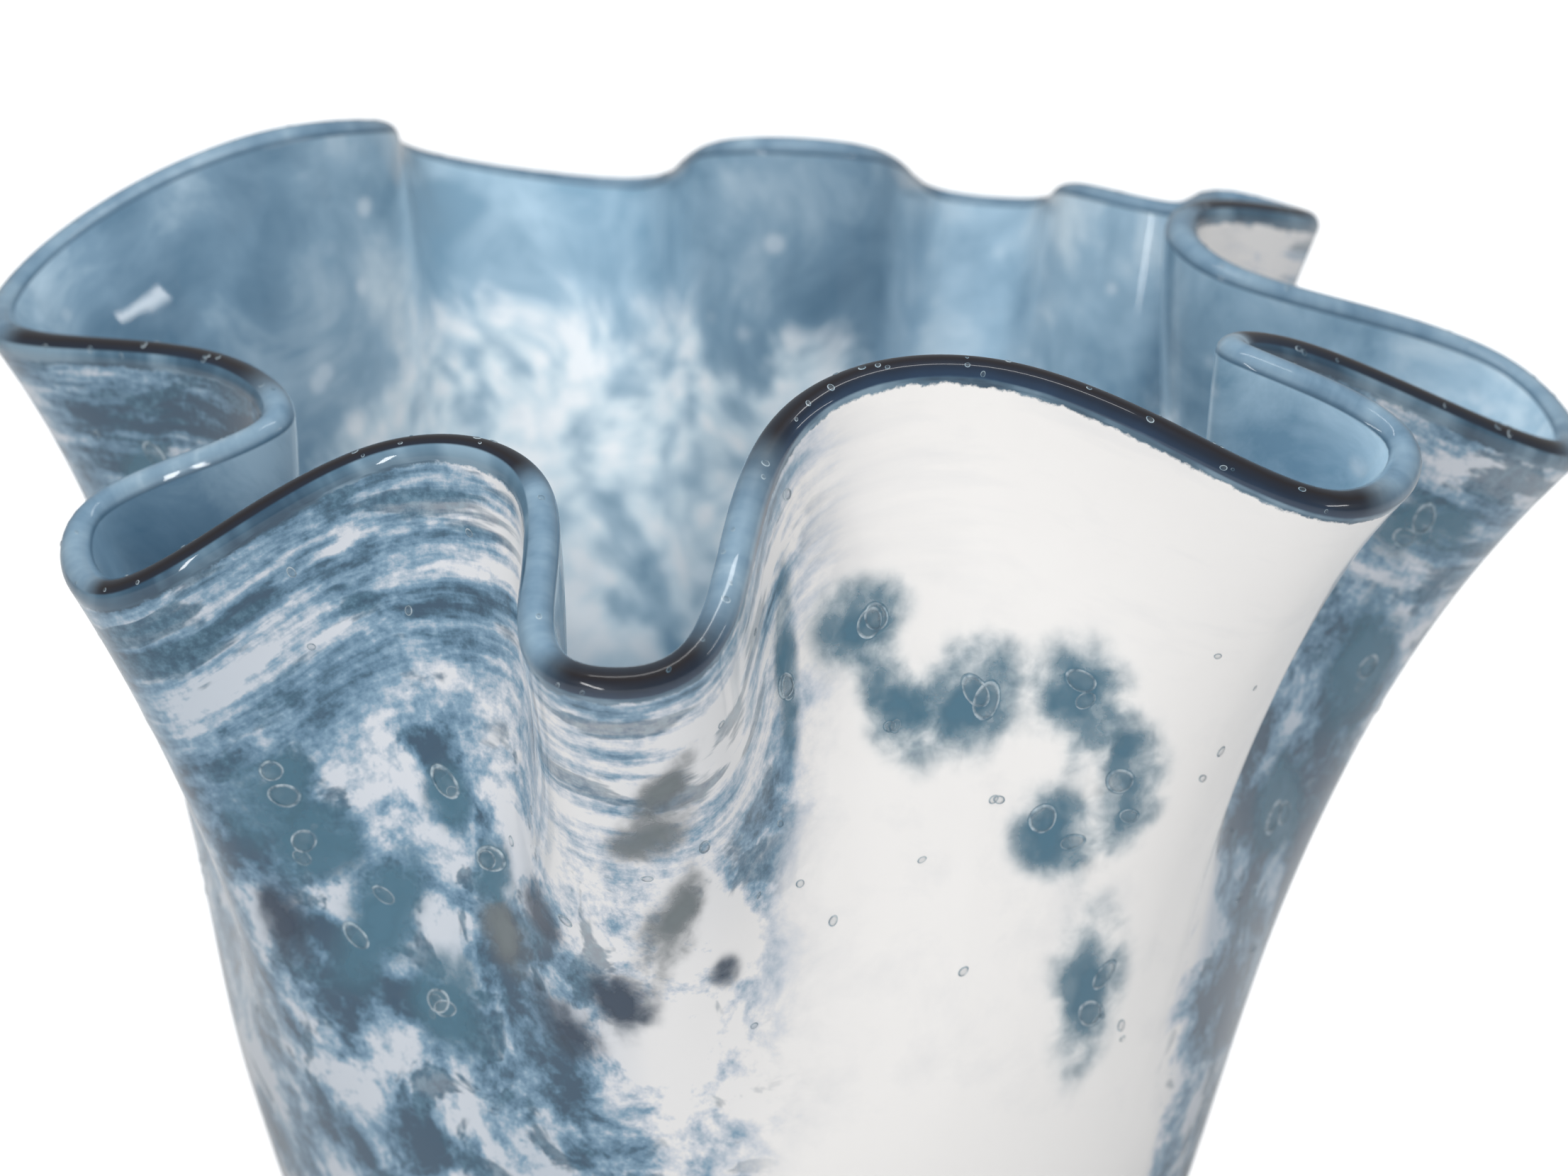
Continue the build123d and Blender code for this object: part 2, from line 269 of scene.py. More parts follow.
# =====================================================================================
# The lip: a closed curve, and places along it counted in turns
# =====================================================================================
lining_skins = split(*node_triangles("blue_lining"))[:2]
inside_skin = max(lining_skins, key=lambda skin: skin[0][:, 2].min())
behind_skin = min(lining_skins, key=lambda skin: skin[0][:, 2].min())
casing_skin = max(split(*node_triangles("clear_casing"))[:2], key=lambda skin: np.ptp(skin[0][:, 0]))
foot_skins = [skin for skin in split(*node_triangles("clear_foot")) if skin[0][:, 2].min() < 0.1 * MM]
outer_tree = tree_of(merge([casing_skin] + foot_skins))
inside_tree = tree_of(inside_skin)
floor_level = inside_skin[0][:, 2].min()

# Middle of the lip, from the two edges of the lining
inner_ring = even_loop(top_loop(inside_skin), COLUMNS)
behind_ring = even_loop(top_loop(behind_skin), SEARCH_COLUMNS)
nearest = [np.argmin(np.sum((behind_ring - point) ** 2, axis=1)) for point in inner_ring]
lip = inner_ring + (behind_ring[nearest] - inner_ring) * 0.5 * WALL / LINING
lip_steps = np.linalg.norm(np.roll(lip, -1, axis=0) - lip, axis=1)
lip_length = lip_steps.sum()
lip_at = np.concatenate([[0.0], np.cumsum(lip_steps)[:-1]])

# Whole turns are the tips of lobes (even) and of folds (odd), from the front lobe round by the right
lip_level = (lip - LIP_CENTRE) * [1, 1, 0]
reach = np.linalg.norm(lip_level, axis=1)
smooth_reach = blur(reach, 4.0, 0, True)
slope = np.roll(smooth_reach, -1) - smooth_reach
tips = np.nonzero(np.sign(slope) != np.sign(np.roll(slope, 1)))[0]
TURNS = len(tips)
front_lobes = [tip for tip in tips if smooth_reach[tip] > smooth_reach.mean() and lip_level[tip, 1] < 0]
first_tip = min(front_lobes, key=lambda tip: abs(lip_level[tip, 0]))
order = np.sort((tips - first_tip) % COLUMNS)
turn = np.interp((np.arange(COLUMNS) - first_tip) % COLUMNS, np.append(order, COLUMNS), np.arange(TURNS + 1))
turn = turn % TURNS

# The folds fan out evenly towards the foot
STEPS_PER_TURN = 32
azimuth = np.arctan2(lip_level[:, 1], lip_level[:, 0])
even = 2 * np.pi * turn / TURNS + azimuth[first_tip]
drift = np.mod(azimuth - even + np.pi, 2 * np.pi) - np.pi
fine_turns = np.arange(TURNS * STEPS_PER_TURN) / STEPS_PER_TURN
in_order = np.argsort(turn)
fine_drift = np.interp(fine_turns, turn[in_order], drift[in_order], period=TURNS)
foot_drift = blur(fine_drift, float(STEPS_PER_TURN), 0, True)
foot_azimuth = even + np.interp(turn, fine_turns, foot_drift, period=TURNS)
foot_out = np.stack([np.cos(foot_azimuth), np.sin(foot_azimuth), np.zeros(COLUMNS)], 1)

# =====================================================================================
# The bowl as one grid: out of the foot, up the outside, over the lip, down the inside
# =====================================================================================
along_body = math.sin(SHOULDER_LEAN) * foot_out + math.cos(SHOULDER_LEAN) * UP
foot_ring = FOOT_RADIUS * foot_out + 0.5 * WALL * UP
shoulder = SHOULDER_RADIUS * foot_out + SHOULDER_HEIGHT * UP
lobe_share = np.clip((reach - FOLD_REACH) / REACH_RANGE, 0.0, 1.1)
flare = np.radians(FOLD_FLARE + LOBE_FLARE * lobe_share)[:, None]
lip_run = np.sin(flare) * unit(lip_level) + np.cos(flare) * UP
pull = np.linalg.norm(lip - shoulder, axis=1)[:, None] / 3.0


def guide_row(rise):
    """One ring of the middle of the wall, at a share of the way up."""
    if rise < SHOULDER_RISE:
        return curve_between(foot_ring, foot_ring + FOOT_PULL * foot_out,
                             shoulder - SHOULDER_PULL * along_body, shoulder, rise / SHOULDER_RISE)
    return curve_between(shoulder, shoulder + pull * along_body, lip - pull * lip_run, lip,
                         (rise - SHOULDER_RISE) / (1.0 - SHOULDER_RISE))


rises = np.linspace(0.0, 1.0, WALL_ROWS + 1)
guide = np.array([guide_row(rise) for rise in rises])
guide_normals = grid_normals(guide)
thick = (WALL + EXTRA_AT_FOOT * (1 - smooth_step(0.0, SHOULDER_RISE, rises)))[:, None, None]
outside = settle(guide + 0.5 * WALL * guide_normals, outer_tree)
inside = settle(guide - (thick - 0.5 * WALL) * guide_normals, inside_tree)
outside[0] = FOOT_RADIUS * foot_out
outside[:, :, 2] = np.maximum(outside[:, :, 2], 0.0)
inside[0] = unit(inside[0] * [1, 1, 0]) * FOOT_RADIUS + floor_level * UP
inside[:, :, 2] = np.maximum(inside[:, :, 2], floor_level)
middle = 0.5 * (outside + inside)

# Rounded edge, square to the end of the wall
lip_across = 0.5 * (outside[-1] - inside[-1])
lip_along = np.roll(middle[-1], -1, axis=0) - np.roll(middle[-1], 1, axis=0)
lip_up = 0.5 * WALL * unit(np.cross(lip_across, lip_along))
lip_angles = np.linspace(0, 180, LIP_ROWS + 1)[1:-1]
edge = np.array([middle[-1] + math.cos(math.radians(angle)) * lip_across
                 + math.sin(math.radians(angle)) * lip_up for angle in lip_angles])
bowl = np.concatenate([outside, edge, inside[::-1]])
bowl_normals = grid_normals(bowl)
bowl_normals[0] = -UP
bowl_normals[-1] = UP

# =====================================================================================
# What the materials need to know at each point of that grid
# =====================================================================================
# Tone of each panel of the outside: turn, near the lip, low down. 0 is deep blue, 1 clean white.
PANEL_TONES = [
    (0.00, 0.68, 0.74), (0.30, 0.66, 0.80), (0.55, 0.78, 0.92), (0.95, 1.00, 1.00), (2.20, 1.00, 1.00),
    (2.45, 0.68, 0.80), (2.70, 0.48, 0.22), (3.30, 0.46, 0.10), (4.00, 0.40, 0.36), (4.60, 0.55, 0.55),
    (5.30, 1.00, 0.85), (5.90, 0.60, 0.60), (6.60, 0.38, 0.55), (7.50, 0.60, 0.42), (9.00, 0.40, 0.58),
    (10.5, 0.58, 0.40), (11.6, 0.42, 0.50), (12.3, 0.32, 0.38), (13.2, 0.24, 0.34), (14.0, 0.28, 0.34),
    (14.7, 0.48, 0.40), (15.15, 0.62, 0.38), (15.4, 0.66, 0.30), (15.7, 0.80, 0.36), (16.0, 0.68, 0.74),
]
LOW_PART = (38.0, 70.0)              # mm below the lip where the low tone takes over
CREST = 15.5                         # turn of a pale patch under the lip, left of the front lobe
CREST_WIDTH = 0.22
PALE_FOOT = (105.0, 135.0)           # mm below the lip where the outside turns paler

# How far the blue band reaches down the inside: turn, mm
BAND_DEPTHS = [
    (0.0, 34), (2.0, 40), (4.0, 34), (6.0, 30), (7.2, 42), (8.3, 44), (9.0, 34), (10.0, 26), (11.0, 44),
    (11.8, 80), (12.8, 84), (13.6, 60), (14.5, 34), (16.0, 34),
]
# How pale the blue band is: turn, 0 deep to 1 pale. Partly the band's own colour, partly painted light: the
# glow of light shining through the wall
BAND_PALENESS_AND_GLOW = [
    (0.0, 0.45), (1.2, 0.45), (2.0, 0.95), (4.0, 0.60), (5.2, 0.45), (6.2, 0.50), (8.2, 0.62), (8.8, 0.18),
    (9.8, 0.95), (10.8, 0.75), (11.3, 0.20), (12.2, 0.20), (13.4, 0.10), (14.5, 0.35), (16.0, 0.45),
]
# Where the painted dark line on the rounded edge starts (painted shade for the dark that clear glass shows
# there): turn, share of the way over from outside to inside
PAINTED_SHADE_STARTS = [
    (0.0, 0.02), (2.2, 0.02), (2.8, 0.16), (4.0, 0.20), (13.0, 0.20), (14.0, 0.25), (15.6, 0.25),
    (15.85, 0.08), (16.0, 0.02),
]


def by_turn(table, column=1):
    """A value for each column of the grid from a table whose rows start with the turn."""
    knots = np.array(table)
    return np.interp(turn, knots[:, 0], knots[:, column])


wall_run = np.linalg.norm(np.diff(middle, axis=0), axis=2)
below_wall = np.concatenate([np.cumsum(wall_run[::-1], axis=0)[::-1], np.zeros((1, COLUMNS))]) / MM
below = np.concatenate([below_wall, np.zeros((len(edge), COLUMNS)), below_wall[::-1]])
rounding = np.concatenate([np.zeros(len(rises)), lip_angles / 180, np.ones(len(rises))])
rounding = np.repeat(rounding[:, None], COLUMNS, axis=1)
flow_radius = lip_length / MM / (2 * np.pi)
swing = 2 * np.pi * lip_at / lip_length
flow = np.stack([np.broadcast_to(flow_radius * np.cos(swing), below.shape),
                 np.broadcast_to(flow_radius * np.sin(swing), below.shape), below], 2)

share_low = smooth_step(*LOW_PART, below)
tone = by_turn(PANEL_TONES, 1) * (1 - share_low) + by_turn(PANEL_TONES, 2) * share_low
tone = tone + 0.5 * np.exp(-((turn - CREST) / CREST_WIDTH) ** 2) * smooth_step(24.0, 9.0, below)
tone = tone + 0.25 * smooth_step(*PALE_FOOT, below)

BOWL_DATA = {
    "below": below,                  # mm below the lip along the wall
    "rounding": rounding,            # 0 outside, 1 inside, between on the rounded edge
    "flow": flow,                    # mm along the lip, wrapped on a circle so it has no seam, and mm below
    "lip_out": np.broadcast_to(unit(lip_across), bowl.shape),
    "tone": tone,
    "band": np.broadcast_to(by_turn(BAND_DEPTHS), below.shape),
    "band_paleness_and_glow": np.broadcast_to(by_turn(BAND_PALENESS_AND_GLOW), below.shape),
    "painted_shade_start": np.broadcast_to(by_turn(PAINTED_SHADE_STARTS), below.shape),
    "normal": bowl_normals,
}


# =====================================================================================
# Meshes
# =====================================================================================
def add_attribute(mesh, name, values):
    is_vector = values.ndim == 2
    attribute = mesh.attributes.new(name, "FLOAT_VECTOR" if is_vector else "FLOAT", "POINT")
    attribute.data.foreach_set("vector" if is_vector else "value", values.astype(np.float32).ravel())


def smooth_piece(name, points, faces, normals):
    mesh = bpy.data.meshes.new(name)
    mesh.from_pydata(points, [], faces)
    mesh.polygons.foreach_set("use_smooth", np.ones(len(mesh.polygons), dtype=bool))
    mesh.normals_split_custom_set_from_vertices(normals)
    piece = bpy.data.objects.new(name, mesh)
    bpy.context.scene.collection.objects.link(piece)
    return piece


def hand_over(piece, material, nodes):
    """Gives a finished piece its material and its place in the frame, and hides the CAD nodes it stands for.
    """
    piece.data.materials.append(material)
    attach(piece, "root")
    if nodes:
        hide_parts(*nodes)


def ring_piece(name, rings, ring_data, poles=None):
    """A closed surface through rings of points.

    poles caps the two ends with a point each; without it the last ring joins the first.
    """
    count = rings.shape[1]
    here = np.arange(count)
    ahead = (here + 1) % count
    total = len(rings)
    faces = []
    for row in range(total if poles is None else total - 1):
        low = row * count
        high = ((row + 1) % total) * count
        faces += np.stack([low + here, low + ahead, high + ahead, high + here], 1).tolist()
    points = rings.reshape(-1, 3)
    if poles is not None:
        first = len(points)
        end = (total - 1) * count
        points = np.vstack([points, poles])
        faces += np.stack([np.full(count, first), ahead, here], 1).tolist()
        faces += np.stack([np.full(count, first + 1), end + here, end + ahead], 1).tolist()

    flat = {}
    for key, values in ring_data.items():
        values = values.reshape(-1, 3) if values.ndim == 3 else values.reshape(-1)
        flat[key] = values if poles is None else np.concatenate([values, values[[0, -1]]])
    normals = flat.pop("normal")
    piece = smooth_piece(name, points.tolist(), faces, normals.tolist())
    for key, values in flat.items():
        add_attribute(piece.data, key, values)
    return piece


def rows_of(first, last):
    """Rows of the bowl grid with what the materials need."""
    return bowl[first:last], {key: values[first:last] for key, values in BOWL_DATA.items()}


def hidden_rows(row_numbers, share, face_out):
    """Rows inside the glass, a share of the way from the inside to the outside, for the back of a piece."""
    rows = np.array(row_numbers)
    points = inside[rows] + share * (outside[rows] - inside[rows])
    values = {key: data[rows] for key, data in BOWL_DATA.items()}
    values["normal"] = values["normal"] * (1 if face_out else -1)
    return points, values


def discs(level, radii, face_up):
    """Flat rings at the foot or on the floor of the bowl."""
    points = np.array([foot_out * radius + level * UP for radius in radii])
    nearest_row = slice(-1, None) if face_up else slice(0, 1)
    values = {key: np.repeat(data[nearest_row], len(radii), axis=0) for key, data in BOWL_DATA.items()}
    values["normal"] = np.broadcast_to(UP if face_up else -UP, points.shape)
    return points, values


def join(*parts):
    points = np.concatenate([part[0] for part in parts])
    values = {key: np.concatenate([part[1][key] for part in parts]) for key in BOWL_DATA}
    return points, values


def on_axis(*heights):
    return np.array([[0.0, 0.0, height] for height in heights])


pad_row = int(round(PAD_RISE * WALL_ROWS))
casing_rows = len(outside) + int(np.searchsorted(lip_angles, CASING_END))
back_rows = list(range(pad_row, WALL_ROWS, BACK_STEP)) + [WALL_ROWS - 1]
cap_radii = FOOT_RADIUS * np.linspace(0.1, 0.9, CAP_RINGS)
inside_level = inside[0][:, 2].mean()

casing = ring_piece("casing_glass", *join(
    rows_of(pad_row, casing_rows),
    hidden_rows(back_rows[::-1], OPAL_SHARE, False)))
lining = ring_piece("lining_glass", *join(
    hidden_rows([0] + back_rows, LINING_SHARE, True),
    rows_of(casing_rows - 1, len(bowl)),
    discs(floor_level, cap_radii[::-1], True)),
    poles=on_axis(inside_level * (1 - LINING_SHARE), floor_level))
foot = ring_piece("foot_pad", *join(
    discs(0.0, cap_radii, False),
    rows_of(0, pad_row + 1),
    hidden_rows([pad_row, pad_row // 2, 0], OPAL_SHARE, False)),
    poles=on_axis(0.0, inside_level * (1 - OPAL_SHARE)))


# =====================================================================================
# Materials. Noise scales are features per metre, ramps are (place, colour).
# =====================================================================================
BLUE_TO_WHITE = [
    (0.00, (0.022, 0.070, 0.125)), (0.14, (0.050, 0.130, 0.205)), (0.30, (0.120, 0.235, 0.345)),
    (0.45, (0.215, 0.350, 0.470)), (0.58, (0.400, 0.490, 0.580)), (0.74, (0.660, 0.690, 0.740)),
    (0.88, (0.850, 0.835, 0.825)), (1.00, (0.930, 0.905, 0.880)),
]
DARK_POOLS = [(0.35, (0.010, 0.060, 0.115)), (0.50, (0.028, 0.105, 0.170)), (0.65, (0.075, 0.180, 0.260))]
BARE_GLASS = [(0.38, (0.025, 0.065, 0.110)), (0.50, (0.070, 0.140, 0.205)), (0.62, (0.190, 0.290, 0.370))]
# Painted shade on the rounded edge: near black where the edge faces the camera, for the dark that clear glass
# shows there by refraction
PAINTED_EDGE_SHADE = [
    (0.00, (0.060, 0.120, 0.190)), (0.07, (0.018, 0.042, 0.085)), (0.24, (0.010, 0.018, 0.034)),
    (0.42, (0.012, 0.010, 0.012)), (0.72, (0.020, 0.030, 0.045)),
]
BLUE_EDGE = [
    (0.34, (0.085, 0.160, 0.235)), (0.46, (0.140, 0.230, 0.315)), (0.58, (0.200, 0.300, 0.385)),
    (0.70, (0.330, 0.430, 0.510)),
]
# Painted shade: a dark outline along both sides of the blue edge, where the rounded glass turns into the wall
PAINTED_EDGE_OUTLINE = (0.040, 0.095, 0.155)
DEEP_BAND = [(0.25, (0.050, 0.125, 0.205)), (0.50, (0.105, 0.205, 0.305)), (0.72, (0.260, 0.400, 0.520))]
# The pale band is partly painted light: the glow of light shining through the wall
PALE_BAND = [(0.25, (0.240, 0.400, 0.530)), (0.50, (0.480, 0.660, 0.790)), (0.72, (0.840, 0.940, 0.980))]
MARBLE = [
    (0.30, (0.210, 0.335, 0.435)), (0.41, (0.420, 0.560, 0.660)), (0.50, (0.720, 0.840, 0.900)),
    (0.60, (0.960, 0.985, 1.000)),
]
# Painted shade deep in the bowl
DEEP_INSIDE_SHADE = (0.110, 0.205, 0.290)
# Painted glints on small bubbles
SPECK_GLINT = (0.780, 0.850, 0.900)
OPAL_FOOT = [(0.30, (0.480, 0.560, 0.630)), (0.50, (0.800, 0.800, 0.810)), (0.70, (0.920, 0.900, 0.880))]
GROUND_GLASS = (0.700, 0.720, 0.740)
BUBBLE = [(0.35, (0.100, 0.190, 0.260)), (0.62, (0.480, 0.580, 0.640))]
PAPER = [(0.3, (0.56, 0.57, 0.58)), (0.7, (0.60, 0.61, 0.62))]
CHIP_COLOURS = {                     # core, middle, melted rim
    "blue": ((0.055, 0.165, 0.245), (0.110, 0.270, 0.375), (0.260, 0.460, 0.580)),
    "olive": ((0.150, 0.180, 0.190), (0.210, 0.240, 0.260), (0.400, 0.440, 0.480)),
    "dark": ((0.020, 0.045, 0.085), (0.070, 0.120, 0.180), (0.260, 0.340, 0.420)),
}


class Nodes:
    """Short names for building a node material."""

    def __init__(self, name):
        self.material = bpy.data.materials.new(name)
        self.material.use_nodes = True
        self.tree = self.material.node_tree
        self.tree.nodes.clear()

    def put(self, socket, value):
        if isinstance(value, bpy.types.NodeSocket):
            self.tree.links.new(value, socket)
        elif socket.type == "RGBA" and len(value) == 3:
            socket.default_value = (*value, 1.0)
        else:
            socket.default_value = value

    def add(self, kind, inputs=None, **settings):
        node = self.tree.nodes.new("ShaderNode" + kind)
        for key, value in settings.items():
            setattr(node, key, value)
        for key, value in (inputs or {}).items():
            self.put(node.inputs[key], value)
        return node

    def math(self, operation, a, b):
        return self.add("Math", {0: a, 1: b}, operation=operation).outputs[0]

    def plus(self, a, b):
        return self.math("ADD", a, b)

    def minus(self, a, b):
        return self.math("SUBTRACT", a, b)

    def times(self, a, b):
        return self.math("MULTIPLY", a, b)

    def swung(self, noise, amount):
        """A noise made to swing about zero, by half the amount each way."""
        return self.times(self.minus(noise, 0.5), amount)

    def step(self, low, high, value):
        """Smooth 0 to 1 as the value goes from low to high."""
        node = self.add("MapRange", {0: value, 1: low, 2: high}, interpolation_type="SMOOTHSTEP")
        return node.outputs[0]

    def vector(self, operation, a, b):
        return self.add("VectorMath", {0: a, 1: b}, operation=operation).outputs[0]

    def dot(self, a, b):
        return self.add("VectorMath", {0: a, 1: b}, operation="DOT_PRODUCT").outputs["Value"]

    def position(self):
        return self.add("TexCoord").outputs["Object"]

    def attribute(self, name, output="Fac"):
        return self.add("Attribute", attribute_name=name).outputs[output]

    def flow(self, along, across):
        """Pattern coordinates that follow the lip: features are along mm long and across mm tall."""
        return self.vector("DIVIDE", self.attribute("flow", "Vector"), (along, along, across))

    def noise(self, vector, scale, detail=4.0, roughness=0.55, distortion=0.0, output=0):
        inputs = {"Vector": vector, "Scale": scale, "Detail": detail, "Roughness": roughness,
                  "Distortion": distortion}
        return self.add("TexNoise", inputs).outputs[output]

    def cells(self, vector, scale, feature):
        return self.add("TexVoronoi", {"Vector": vector, "Scale": scale}, feature=feature).outputs

    def mix(self, share, a, b):
        node = self.add("Mix", data_type="RGBA")
        self.put(node.inputs[0], share)
        self.put(node.inputs[6], a)
        self.put(node.inputs[7], b)
        return node.outputs[2]

    def ramp(self, value, stops):
        node = self.add("ValToRGB", {0: value})
        elements = node.color_ramp.elements
        while len(elements) < len(stops):
            elements.new(0.5)
        for element, (place, colour) in zip(elements, stops):
            element.position = place
            element.color = (*colour, 1.0)
        return node.outputs[0]

    def bump(self, height, strength, distance):
        inputs = {"Height": height, "Strength": strength, "Distance": distance}
        return self.add("Bump", inputs).outputs[0]

    def glass(self, **inputs):
        """Ends the material with one surface. Inputs are the shader's, with _ for spaces."""
        named = {key.replace("_", " "): value for key, value in inputs.items()}
        surface = self.add("BsdfPrincipled", named)
        output = self.add("OutputMaterial")
        self.tree.links.new(surface.outputs[0], output.inputs[0])
        return self.material


def lip_edge_with_painted_shade(n, body_colour, on_wall):
    """The rounded edge: near black seen from outside, blue seen along the wall. The near black is painted
    shade, for the dark that clear glass shows at its edge by refraction; so is the dark outline at the sides
    of the blue.
    """
    view = n.add("NewGeometry").outputs["Incoming"]
    facing = n.step(0.12, 0.50, n.dot(view, n.attribute("lip_out", "Vector")))
    rounding = n.attribute("rounding")
    cloud = n.noise(n.position(), 160.0, 3.0)
    # Painted shade: near black where the edge's outside faces the camera
    dark = n.ramp(n.plus(rounding, n.swung(cloud, 0.12)), PAINTED_EDGE_SHADE)
    threads = n.noise(n.flow(9.0, 1.0), 1.0, 4.0, 0.6)
    blue = n.ramp(n.plus(n.times(threads, 0.55), n.times(cloud, 0.45)), BLUE_EDGE)
    # Painted shade: dark outline along both sides of the blue edge
    rim = n.plus(n.step(0.14, 0.04, rounding), n.step(0.84, 0.96, rounding))
    blue = n.mix(n.times(rim, 0.75), blue, PAINTED_EDGE_OUTLINE)
    not_far_side = n.step(0.88, 0.74, rounding)
    edge_colour = n.mix(n.times(facing, not_far_side), blue, dark)
    return n.mix(on_wall, edge_colour, body_colour)


def casing_material():
    n = Nodes("streaked_cased_glass")
    position = n.position()
    below = n.attribute("below")
    tone = n.attribute("tone")
    calm = n.step(0.72, 0.98, tone)
    busy = n.minus(1.0, calm)
    low = n.step(30.0, 66.0, n.plus(below, n.times(n.noise(position, 18.0, 1.0), 30.0)))

    # Streaks near the lip, blotches lower down
    wander = n.vector("SUBTRACT", n.noise(position, 28.0, 2.0, output=1), (0.5, 0.5, 0.5))
    warp = n.vector("MULTIPLY", wander, (1.5, 1.5, 1.5))
    streaks = n.noise(n.vector("ADD", n.flow(34.0, 7.5), warp), 1.0, 6.0, 0.55)
    fine = n.noise(n.vector("ADD", n.flow(13.0, 2.0), warp), 1.0, 3.0, 0.5)
    streaks = n.plus(n.times(streaks, 0.72), n.times(fine, 0.28))
    blotches = n.noise(position, 70.0, 6.0, 0.60, 0.3)
    pattern = n.plus(n.times(streaks, n.minus(1.0, low)), n.times(blotches, low))

    # The pattern swings about the panel's tone, less on the clean white panels
    grain = n.noise(position, 520.0, 3.0, 0.7)
    strength = n.minus(3.9, n.times(calm, 3.4))
    level = n.plus(tone, n.times(n.minus(pattern, 0.5), strength))
    level = n.plus(level, n.times(n.swung(grain, 0.7), busy))
    level = n.math("MINIMUM", level, n.plus(0.52, n.times(tone, 0.48)))
    colour = n.ramp(level, BLUE_TO_WHITE)

    # Deep blue flames near the lip, pools lower down
    flames = n.noise(n.vector("ADD", n.flow(26.0, 6.5), warp), 1.0, 4.0, 0.55)
    pools = n.noise(position, 84.0, 4.0, 0.6, 0.5)
    dark = n.times(n.step(0.54, 0.60, n.mix(low, flames, pools)), busy)
    dark = n.times(dark, n.minus(1.0, n.times(tone, 0.55)))
    colour = n.mix(dark, colour, n.ramp(grain, DARK_POOLS))

    # The opal skin stops at a ragged line, and bare glass shows from there to the dark edge, whose near black
    # is painted shade
    ragged = n.plus(below, n.swung(n.noise(position, 420.0, 4.0, 0.7), 2.2))
    colour = n.mix(n.step(0.45, 1.0, ragged), n.ramp(fine, BARE_GLASS), colour)
    on_wall = n.step(0.05, 0.0, n.minus(n.attribute("rounding"), n.attribute("painted_shade_start")))
    colour = lip_edge_with_painted_shade(n, colour, on_wall)

    ripple = n.bump(n.noise(position, 45.0, 2.0), 0.22, 0.0012)
    roughness = n.plus(0.30, n.times(n.noise(position, 90.0, 3.0), 0.12))
    return n.glass(Base_Color=colour, Roughness=roughness, IOR=1.5, Specular_IOR_Level=0.3,
                   Coat_Weight=1.0, Coat_Roughness=0.035, Coat_IOR=1.52, Coat_Normal=ripple, Normal=ripple)


def lining_material():
    n = Nodes("steel_blue_lining_glass")
    position = n.position()
    below = n.attribute("below")
    large = n.noise(position, 22.0, 3.0, 0.5)
    cloud = n.noise(position, 52.0, 6.0, 0.62, 0.6)

    # A blue band under the lip, deeper or paler round the bowl; the paler parts are partly painted light
    # shining through the wall
    band_noise = n.plus(large, n.swung(cloud, 1.0))
    band = n.mix(n.attribute("band_paleness_and_glow"), n.ramp(band_noise, DEEP_BAND), n.ramp(band_noise, PALE_BAND))

    # Cloudy white glass below the band, darker again towards the bottom: painted shade deep in the bowl
    puffs = n.cells(position, 190.0, "SMOOTH_F1")["Distance"]
    marble = n.ramp(n.plus(cloud, n.times(n.minus(0.40, puffs), 0.30)), MARBLE)
    past_band = n.minus(n.plus(below, n.swung(cloud, 62.0)), n.attribute("band"))
    colour = n.mix(n.step(-9.0, 9.0, past_band), band, marble)
    shade_deep_down = n.step(48.0, 96.0, n.plus(below, n.swung(large, 60.0)))
    colour = n.mix(n.times(shade_deep_down, 0.72), colour, DEEP_INSIDE_SHADE)

    # White specks: painted glints on small bubbles in the glass
    spots = n.cells(position, 120.0, "F1")
    speck_glint = n.times(n.step(0.30, 0.12, spots["Distance"]), n.step(0.55, 0.62, spots["Color"]))
    crowded = n.step(0.62, 0.72, n.noise(position, 38.0, 1.0))
    speck_glint = n.times(speck_glint, n.plus(0.45, n.times(crowded, 0.5)))
    speck_glint = n.times(speck_glint, n.step(3.0, 8.0, below))
    colour = n.mix(speck_glint, colour, SPECK_GLINT)

    # Over the rounded edge: blue, with painted shade making it near black where its outside faces the camera
    on_wall = n.step(0.955, 1.0, n.attribute("rounding"))
    colour = lip_edge_with_painted_shade(n, colour, on_wall)
    ripple = n.bump(n.noise(position, 40.0, 2.0), 0.25, 0.0015)
    roughness = n.plus(0.30, n.times(cloud, 0.12))
    return n.glass(Base_Color=colour, Roughness=roughness, IOR=1.5, Specular_IOR_Level=0.3,
                   Coat_Weight=1.0, Coat_Roughness=0.04, Coat_IOR=1.52, Coat_Normal=ripple, Normal=ripple)


def foot_material():
    """Opal seen through clear glass, with a dull ground disc underneath."""
    n = Nodes("clear_over_opal_foot_glass")
    position = n.position()
    colour = n.ramp(n.noise(position, 60.0, 5.0, 0.6), OPAL_FOOT)
    height = n.add("SeparateXYZ", {0: position}).outputs["Z"]
    ground = n.step(0.0004, 0.0, height)
    colour = n.mix(n.times(ground, 0.45), colour, GROUND_GLASS)
    roughness = n.plus(0.22, n.times(ground, 0.40))
    grain = n.bump(n.times(n.noise(position, 2600.0, 2.0), ground), 0.5, 0.0001)
    return n.glass(Base_Color=colour, Roughness=roughness, IOR=1.5, Coat_Weight=n.minus(1.0, ground),
                   Coat_Roughness=0.05, Normal=grain)


